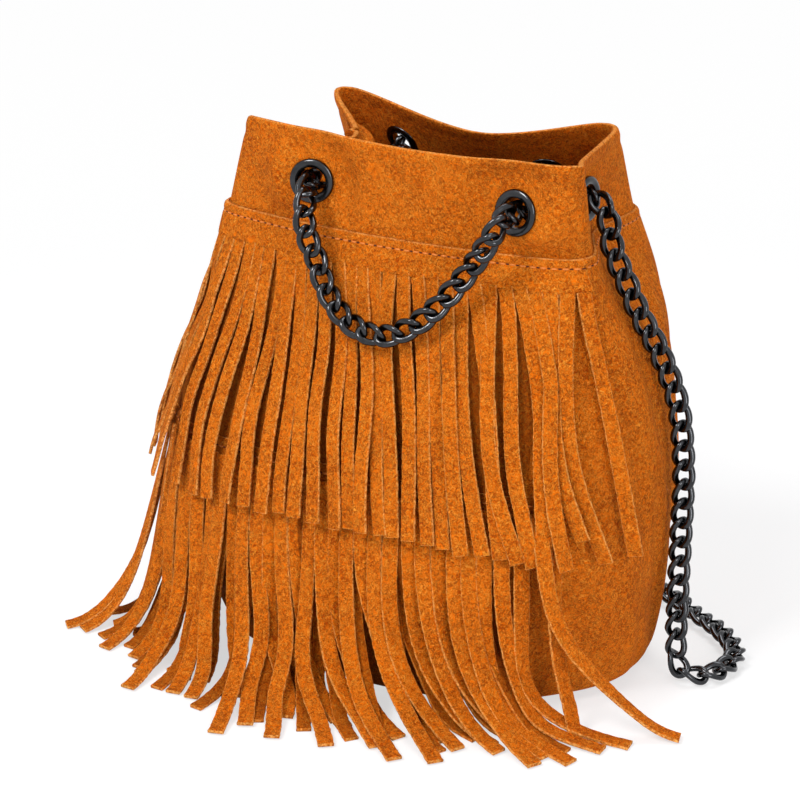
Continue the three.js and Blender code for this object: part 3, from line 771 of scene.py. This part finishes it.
# Shorter strips that show between the others, each with the place of its start among them
BEHIND_TIPS = [
    (1.5, -152, -72), (2.5, -138, -96), (3.5, -128, -84), (4.5, -120, -98), (5.5, -108, -90),
    (6.5, -104, -112), (7.5, -88, -108), (8.5, -84, -124), (9.5, -70, -108), (10.5, -58, -130),
    (11.5, -50, -116), (12.5, -40, -108), (13.5, -28, -126), (14.5, -20, -104), (15.5, -6, -122),
    (16.5, 2, -108), (17.5, 16, -118), (18.5, 22, -104), (19.5, 34, -118), (20.5, 46, -96),
    (21.5, 54, -108), (22.5, 62, -90), (24.5, 80, -82), (26.5, 92, -78), (27.5, 100, -80),
]
# Which layer a strip lies in, for each five strips in turn
LAYERS = (1, 2, 2.6, 1.4, 2.2)
# Strips with a course of their own: drop, reach, way off the wall, and bends at the top and at the floor
PLACED = {
    5: (0.7, 0.1, 12.0, (14, -4)), 28: (0.9, 0.25, 7.0, (0, -4)), 29: (0.92, 0.22, 6.0, (0, -3)),
    30: (0.94, 0.2, 5.0, (0, -2)), 31: (0.4, 0.5, 15.0, (0, 0)), 32: (0.9, 0.4, 5.0, (0, 0)),
}


def bezier(points, t):
    p0, p1, p2, p3 = points
    t = t[:, None]
    return (1 - t) ** 3 * p0 + 3 * (1 - t) ** 2 * t * p1 + 3 * (1 - t) * t ** 2 * p2 + t ** 3 * p3


def floor_strip(gathered, rng, start, tip, layer, width, reach, bends, drop, away, shade=0.0):
    """A strip that hangs from the lower header, leaves the wall and runs out along the floor. shade is
    painted shade on it.
    """
    start, height = np.array([start]), np.array([LOWER_TOP - LOWER_HEADER + 1.0])
    half = STRIP_THICKNESS / 2
    out = outwards(start, place_of(height))[0]
    begin = wall(start, height, LOWER_LIFT + half + 0.3 * layer)[0]
    lying = LYING + half + 1.45 * layer
    end = np.array([tip[0], tip[1], LYING + half + 0.3 * layer])
    side = np.array([-out[1], out[0], 0])
    hang = begin + out * (away + 2.4 * layer) + np.array([0, 0, -drop * begin[2]]) + side * bends[0]
    foot = begin + (end - begin) * reach + side * bends[1]
    foot[2] = lying
    t = np.linspace(0, 1, 90)
    line = bezier((begin, hang, foot, end), t)
    size, count, phase = rng.uniform(1.0, 3.2), rng.uniform(0.7, 1.3), rng.uniform(0, 6)
    ripple = size * np.sin(2 * math.pi * t * count + phase) * np.sin(math.pi * t)
    line = line + side * ripple[:, None]
    middles, at = resampled(line, 1.5)
    along = unit(np.gradient(middles, axis=0))
    going = np.array([end[0] - begin[0], end[1] - begin[1], 0])
    flat = unit(np.cross([0, 0, 1], going))
    if flat.dot(side) < 0:
        flat = -flat
    blend = np.clip(at * 1.3, 0, 1)[:, None]
    across = side * (1 - blend) + flat * blend
    across = unit(across - along * np.sum(across * along, axis=1)[:, None])
    facing = unit(np.cross(across, along))
    if facing[0].dot(out) < 0:
        facing = -facing
    twist = rng.uniform(-0.25, 0.25) * np.sin(math.pi * np.clip(at * 1.15, 0, 1))
    turned = across * np.cos(twist)[:, None] + facing * np.sin(twist)[:, None]
    face = facing * np.cos(twist)[:, None] - across * np.sin(twist)[:, None]
    vertices, faces, cut = ribbon(middles, turned, face, width, rng)
    if np.dot(np.cross(turned[0], along[0]), face[0]) > 0:
        faces = [tuple(reversed(f)) for f in faces]
    # Painted shade: shade darkens the strip and dims its cut edges
    gathered.add(vertices, faces, np.where(cut > 0, cut * (1 - shade), -shade))


def lower_fringe():
    """The lower fringe and the inner row of shorter strips behind it."""
    rng = random.Random(5)
    gathered = Collected()
    slit_top = LOWER_TOP - LOWER_HEADER
    header(gathered, LOWER_TOP, slit_top, 260, LOWER_RIGHT_REACH, HEADER_SHADE)
    start, end = reach_turns(slit_top, LOWER_RIGHT_REACH)
    starts, pitch = turns_between(slit_top, start, end, LOWER_COUNT)
    for i, tip in enumerate(LOWER_TIPS):
        drop, reach, away = rng.uniform(0.62, 0.82), rng.uniform(0.3, 0.46), 9.0
        bends = (rng.uniform(-3, 3), rng.uniform(-6, 6))
        if i < 2:
            drop = 0.52
        elif i < 15:
            drop, bends = rng.uniform(0.66, 0.84), (rng.uniform(-2, 10), rng.uniform(-4, 8))
        if i in PLACED:
            drop, reach, away, bends = PLACED[i]
        floor_strip(
            gathered, rng, starts[i], tip, layer=3 if i == 31 else LAYERS[i % len(LAYERS)],
            width=min(pitch + 0.3, 7.0), reach=reach, bends=bends, drop=drop, away=away,
        )
    behind = Collected()
    for place, x, y in BEHIND_TIPS:
        start = np.interp(place, np.arange(LOWER_COUNT), starts)
        floor_strip(
            behind, rng, start, (x, y), layer=rng.uniform(0, 0.5), width=6.4, reach=0.35,
            bends=(rng.uniform(-4, 4), rng.uniform(-9, 9)), drop=rng.uniform(0.6, 0.8), away=5.0,
            shade=BEHIND_SHADE,
        )
    inner = make_piece("fringe_behind", behind.vertices, behind.faces, SUEDE, cut=behind.cut)
    piece = make_piece(
        "fringe_bottom", gathered.vertices, gathered.faces, SUEDE, ["fringe_lower"], gathered.cut,
    )


# Stitches
STITCH_PITCH = 4.4
STITCH_LENGTH = 3.1
THREAD_RADIUS = 0.42
# Radius of the dark capsules of painted shade between stitches
GAP_SHADE_RADIUS = 0.4


def capsule(a, b, radius, sag, rings=7, sides=8):
    """A round-ended stitch from a to b whose ends are drawn in by sag."""
    axis = unit(b - a)
    helper = np.array([0, 0, 1.0]) if abs(axis[2]) < 0.8 else np.array([1.0, 0, 0])
    u = unit(np.cross(axis, helper))
    v = np.cross(axis, u)
    vertices = []
    for i in range(rings):
        s = i / (rings - 1)
        r = radius * math.sqrt(max(0.0, 1 - (2 * s - 1) ** 4)) + 0.02
        centre = a + (b - a) * s - sag * (2 * s - 1) ** 2
        for k in range(sides):
            angle = 2 * math.pi * k / sides
            vertices.append(centre + r * (math.cos(angle) * u + math.sin(angle) * v))
    return vertices, tube_faces(rings, sides, flipped=True)


def stitch_line(gathered, gap_shades, height, start, end, lift):
    """Stitches round the wall at a height, with a dark capsule of painted shade in the gap between each two.
    """
    turns, distances = turn_table(height)
    low, high = np.interp([start, end], turns, distances)
    count = int((high - low) / STITCH_PITCH)
    level = np.full(2, float(height))
    for i in range(count):
        at = low + (i + 0.5) * (high - low) / count
        half = STITCH_LENGTH / 2
        pair = np.interp([at - half, at + half], distances, turns)
        ends = wall(pair, level, lift)
        out = outwards(pair, place_of(level))[0]
        gathered.add(*capsule(ends[0], ends[1], THREAD_RADIUS, out * 0.45))
        # Painted shade: a dark capsule in the gap between this stitch and the next
        gap = np.interp([at + half - 0.2, at + STITCH_PITCH - half + 0.2], distances, turns)
        ends = wall(gap, level, lift - 0.2)
        gap_shades.add(*capsule(ends[0], ends[1], GAP_SHADE_RADIUS, out * 0.1))


def stitches():
    """The stitch lines along both headers and round the rest of the seam, with painted shade between
    stitches.
    """
    gathered, gap_shades = Collected(), Collected()
    upper = SEAM - STITCH_DROP
    lower = LOWER_TOP - STITCH_DROP
    margin = 0.004
    on_header = header_lift(STITCH_DROP) + STRIP_THICKNESS - 0.25
    on_wall = 1.4
    start, end = reach_turns(upper)
    stitch_line(gathered, gap_shades, upper, start + margin, end - margin, on_header)
    stitch_line(gathered, gap_shades, upper, end + margin, 0.5, on_wall)
    stitch_line(gathered, gap_shades, upper, -0.5, start - margin, on_wall)
    start, end = reach_turns(lower, LOWER_RIGHT_REACH)
    stitch_line(gathered, gap_shades, lower, start + margin, end - margin, on_header)
    make_piece("stitches", gathered.vertices, gathered.faces, THREAD)
    make_piece("stitch_gap_shade", gap_shades.vertices, gap_shades.faces, GAP_SHADE)


# Eyelets
# Radii and heights of an eyelet and its washer, and their gap to the band
HOLE = 5.9
BARREL_WALL = 0.6
EYELET_RADIUS = 10
FLANGE = 1.9
WASHER_RADIUS = 9.4
GAP = 0.15
RIM_EDGE = 0.35


def revolved(profile, sides=72):
    """A closed profile of radius and height turned round the Z axis."""
    profile = np.array(profile)
    angles = 2 * math.pi * np.arange(sides) / sides
    radius, height = profile[:, 0], profile[:, 1]
    rows = [np.stack([radius * math.cos(a), radius * math.sin(a), height], axis=1) for a in angles]
    return np.concatenate(rows), tube_faces(sides, len(profile), closed=True)


def eyelet_profile():
    """The section of a ring with a domed flange and a barrel rolled over the washer."""
    points = []
    middle, half = (EYELET_RADIUS + HOLE + RIM_EDGE) / 2, (EYELET_RADIUS - HOLE - RIM_EDGE) / 2
    for a in np.radians(np.linspace(0, 180, 19)):
        height = GAP + RIM_EDGE + (FLANGE - RIM_EDGE) * math.sin(a) ** 0.75
        points.append((middle + half * math.cos(a), height))
    end = -BAND_THICKNESS - 1.6
    points += [
        (HOLE + 0.1, GAP - 0.3), (HOLE, -1), (HOLE, end + 0.4), (HOLE + 0.5, end), (HOLE + 1.0, end - 0.05),
        (HOLE + 1.2, end + 0.3), (HOLE + BARREL_WALL, end + 0.7), (HOLE + BARREL_WALL, GAP),
        (EYELET_RADIUS - 0.5, GAP), (EYELET_RADIUS - 0.1, GAP + 0.12),
    ]
    return points


def washer_profile():
    """The section of the thin ring behind the band."""
    face = -BAND_THICKNESS - GAP
    inside = HOLE + BARREL_WALL + 0.25
    return [
        (inside, face - 0.15), (inside, face - 0.8), (inside + 0.2, face - 1.0), (8.2, face - 0.95),
        (9.0, face - 0.7), (WASHER_RADIUS, face - 0.3), (WASHER_RADIUS, face), (inside + 0.1, face),
    ]


def eyelets():
    for name in EYELETS:
        for kind, profile in (("eyelet", eyelet_profile()), ("washer", washer_profile())):
            vertices, faces = revolved(profile)
            vertices = placed(vertices, name)
            make_piece(f"{kind}_ring_{name}", vertices, faces, GUNMETAL, [f"{kind}_{name}"])


# Chain
WIRE = 2.9
LINK_WIDTH = 10.4
LINK_PITCH = 9.2
LINK_TWIST = 44
# How far a link is rolled from its neighbours at most, in degrees
LINK_ROLL = 7
# The chain's route outside and inside the bag, from one eyelet to the next
FRONT_SWAG = [
    (-41, -62, 206), (-37, -60, 193), (-28, -64, 179), (-14, -68, 169), (3, -69, 167),
    (20, -67, 176), (34, -62, 192), (43, -60, 205), (50, -62, 215),
]
INSIDE_RIGHT = [(52, -30, 221), (52, -17, 218)]
STRAP = [
    (77, -6, 210), (79, -7, 201), (85, -6, 188), (91.5, -5, 174), (98, -1, 160), (104, 2, 145),
    (108, 4, 131), (110, 5, 116), (111, 6, 99), (111, 6, 70), (111, 6, 40), (111, 7, 16), (113, 6, 7),
    (119, 6, 5), (126, 10, 5), (130, 21, 5), (129, 34, 5), (122, 45, 5), (111, 55, 5), (98, 63, 5),
    (82, 74, 5), (60, 84, 5), (30, 89, 5), (-10, 90, 5), (-42, 90, 8), (-58, 86, 26), (-60, 80, 60),
    (-59, 77, 110), (-57, 74, 160), (-57, 73, 190), (-58, 66, 213),
]
INSIDE_LEFT = [(-46, 24, 222), (-34, 2, 221), (-36, -20, 221)]


def open_curve(points):
    """A centripetal curve through points, as many close points."""
    padded = np.concatenate([[2 * points[0] - points[1]], points, [2 * points[-1] - points[-2]]])
    w = np.linspace(0, 1, 80, endpoint=False)[:, None]
    line = [between(*padded[i:i + 4], w) for i in range(len(points) - 1)]
    return np.concatenate([*line, points[-1:]])


def link_middles(first, first_side, last, last_side, route):
    """Evenly spaced link middles between two eyelets. A side is 1 outside the bag and -1 inside."""
    seat, reach = -BAND_THICKNESS / 2, 7
    (a, _, _, out_a), (b, _, _, out_b) = FRAMES[first], FRAMES[last]
    points = [a + out_a * seat, a + out_a * (seat + first_side * reach), *route]
    points += [b + out_b * (seat + last_side * reach), b + out_b * seat]
    line = open_curve(np.array(points))
    steps = lengths_along(line)
    count = math.ceil(steps[-1] / LINK_PITCH)
    wanted = np.linspace(0, steps[-1], count + 1)
    return np.stack([np.interp(wanted, steps, line[:, k]) for k in range(3)], axis=1)[:-1]


def link_path(samples=40):
    """The middle line of a curb link's wire: an oval whose ends are twisted against each other."""
    length = LINK_PITCH / 2 + 0.5 * WIRE
    wide = (LINK_WIDTH - WIRE) / 2
    angles = 2 * math.pi * np.arange(samples) / samples
    x = np.sign(np.cos(angles)) * np.abs(np.cos(angles)) ** 0.85 * length
    y = np.sign(np.sin(angles)) * np.abs(np.sin(angles)) ** 0.8 * wide
    twist = math.radians(LINK_TWIST) * np.clip(x / length, -1, 1)
    return np.stack([x, y * np.cos(twist), y * np.sin(twist)], axis=1)


def link_mesh(sides=10):
    """One link, whose wire is a little flattened where it was pressed."""
    path = link_path()
    count = len(path)
    along = unit(np.roll(path, -1, axis=0) - np.roll(path, 1, axis=0))
    radial = unit(path * np.array([0.35, 1, 1]))
    radial = unit(radial - along * np.sum(radial * along, axis=1)[:, None])
    third = np.cross(along, radial)
    vertices = []
    for i in range(count):
        for k in range(sides):
            a = 2 * math.pi * k / sides
            around = 1.06 * math.cos(a) * radial[i] + 0.84 * math.sin(a) * third[i]
            vertices.append(path[i] + WIRE / 2 * around)
    return np.array(vertices), tube_faces(count, sides, closed=True, flipped=True)


def chain():
    """The links along all four runs, each facing away from what it lies against."""
    middles = np.concatenate([
        link_middles("back_left", -1, "front_left", -1, INSIDE_LEFT),
        link_middles("front_left", 1, "front_right", 1, FRONT_SWAG),
        link_middles("front_right", -1, "side_right", -1, INSIDE_RIGHT),
        link_middles("side_right", 1, "back_left", 1, STRAP),
    ])
    along = unit(np.roll(middles, -1, axis=0) - np.roll(middles, 1, axis=0))
    faces_out = []
    for i, point in enumerate(middles):
        on_floor = point[2] < 9
        wanted = np.array([0, 0, 1.0]) if on_floor else np.array([0.55, -0.8, 0.1])
        if point[1] > 40 and not on_floor:
            wanted = np.array([-0.3, 1.0, 0.0])
        facing = wanted - along[i] * wanted.dot(along[i])
        if np.linalg.norm(facing) < 0.2:
            facing = np.array([0, 0, 1.0]) - along[i] * along[i][2]
        faces_out.append(unit(facing))
    faces_out = np.array(faces_out)
    for _ in range(3):
        faces_out = np.roll(faces_out, 1, axis=0) + faces_out * 2 + np.roll(faces_out, -1, axis=0)
        faces_out = unit(faces_out - along * np.sum(faces_out * along, axis=1)[:, None])
    vertices, faces = link_mesh()
    gathered = Collected()
    rng = random.Random(3)
    for i, middle in enumerate(middles):
        out = faces_out[i]
        across = np.cross(out, along[i])
        roll = math.radians(rng.uniform(-LINK_ROLL, LINK_ROLL))
        c, s = math.cos(roll), math.sin(roll)
        across, out = across * c + out * s, out * c - across * s
        gathered.add(middle + vertices @ np.stack([along[i], across, out]), faces)
    make_piece("chain", gathered.vertices, gathered.faces, GUNMETAL, ["chain_strap"])


# Floor, world and lamps
# The floor glows for the camera, more so far from the bag: distances in metres and shares of white
GLOW_FROM = (0.25, 0.62)
GLOW_TO = (0.9, 0.97)
FLOOR_SIZE = 6.0
# The world's light on the object, where 1 is the white that the camera sees
AMBIENT = 0.42


def shown(tree):
    """1 for rays that show a surface straight, in metal or through glass, and 0 for others."""
    path = tree.nodes.new("ShaderNodeLightPath")
    total = path.outputs["Is Camera Ray"]
    for name in ("Is Glossy Ray", "Is Transmission Ray"):
        either = tree.nodes.new("ShaderNodeMath")
        either.operation = "MAXIMUM"
        tree.links.new(total, either.inputs[0])
        tree.links.new(path.outputs[name], either.inputs[1])
        total = either.outputs[0]
    return total


def stage():
    """The white floor and the world."""
    m = Nodes("floor")
    m.set(Base_Color=(0.90, 0.905, 0.92, 1), Roughness=0.9, Specular_IOR_Level=0.1)
    emission = m.add("ShaderNodeEmission", Strength=1.0, Color=(1, 1, 1, 1))
    away = m.add("ShaderNodeVectorMath", operation="LENGTH")
    m.link(m.position(), away.inputs[0])
    glow = m.ramp(away.outputs["Value"], GLOW_FROM[0], GLOW_TO[0], GLOW_FROM[1], GLOW_TO[1])
    share = m.math("MULTIPLY", shown(m.tree), glow)
    mixed = m.add("ShaderNodeMixShader")
    for k, out in enumerate((share, m.shader.outputs[0], emission.outputs[0])):
        m.link(out, mixed.inputs[k])
    m.link(mixed.outputs[0], m.tree.nodes["Material Output"].inputs["Surface"])
    corners = [(x * FLOOR_SIZE, y * FLOOR_SIZE, 0) for x, y in ((-1, -1), (1, -1), (1, 1), (-1, 1))]
    mesh = bpy.data.meshes.new("floor")
    mesh.from_pydata(corners, [], [(0, 1, 2, 3)])
    mesh.materials.append(m.material)
    floor = bpy.data.objects.new("floor", mesh)
    bpy.context.scene.collection.objects.link(floor)

    world = bpy.data.worlds.new("studio")
    bpy.context.scene.world = world
    world.use_nodes = True
    tree = world.node_tree
    background = tree.nodes["Background"]
    background.inputs["Color"].default_value = (1, 1, 1, 1)
    level = tree.nodes.new("ShaderNodeMapRange")
    level.inputs["To Min"].default_value = AMBIENT
    level.inputs["To Max"].default_value = 1.0
    tree.links.new(shown(tree), level.inputs["Value"])
    tree.links.new(level.outputs["Result"], background.inputs["Strength"])


def lamp(name, at, target, size, power, shade=(1, 1, 1)):
    """An area lamp that faces a target. Lengths are in metres, the power in watts."""
    data = bpy.data.lights.new(name, "AREA")
    data.shape = "RECTANGLE"
    data.size, data.size_y = size
    data.energy = power
    data.color = shade
    obj = bpy.data.objects.new(name, data)
    obj.location = at
    obj.rotation_euler = (Vector(target) - Vector(at)).to_track_quat("-Z", "Y").to_euler()
    bpy.context.scene.collection.objects.link(obj)


top_band()
body_shell()
base_panel()
upper_fringe()
lower_fringe()
stitches()
eyelets()
chain()
stage()
lamp("key", (-0.4, -1.43, 1.75), (0, 0, 0.1), (0.7, 0.7), 36, (1, 0.99, 0.97))
lamp("fill", (1.6, -1.0, 0.9), (0, 0, 0.12), (0.7, 1.0), 16)
lamp("top", (0.1, 0.5, 1.9), (0, 0, 0.1), (1.0, 0.7), 13)

bpy.context.scene.view_settings.view_transform = "Standard"
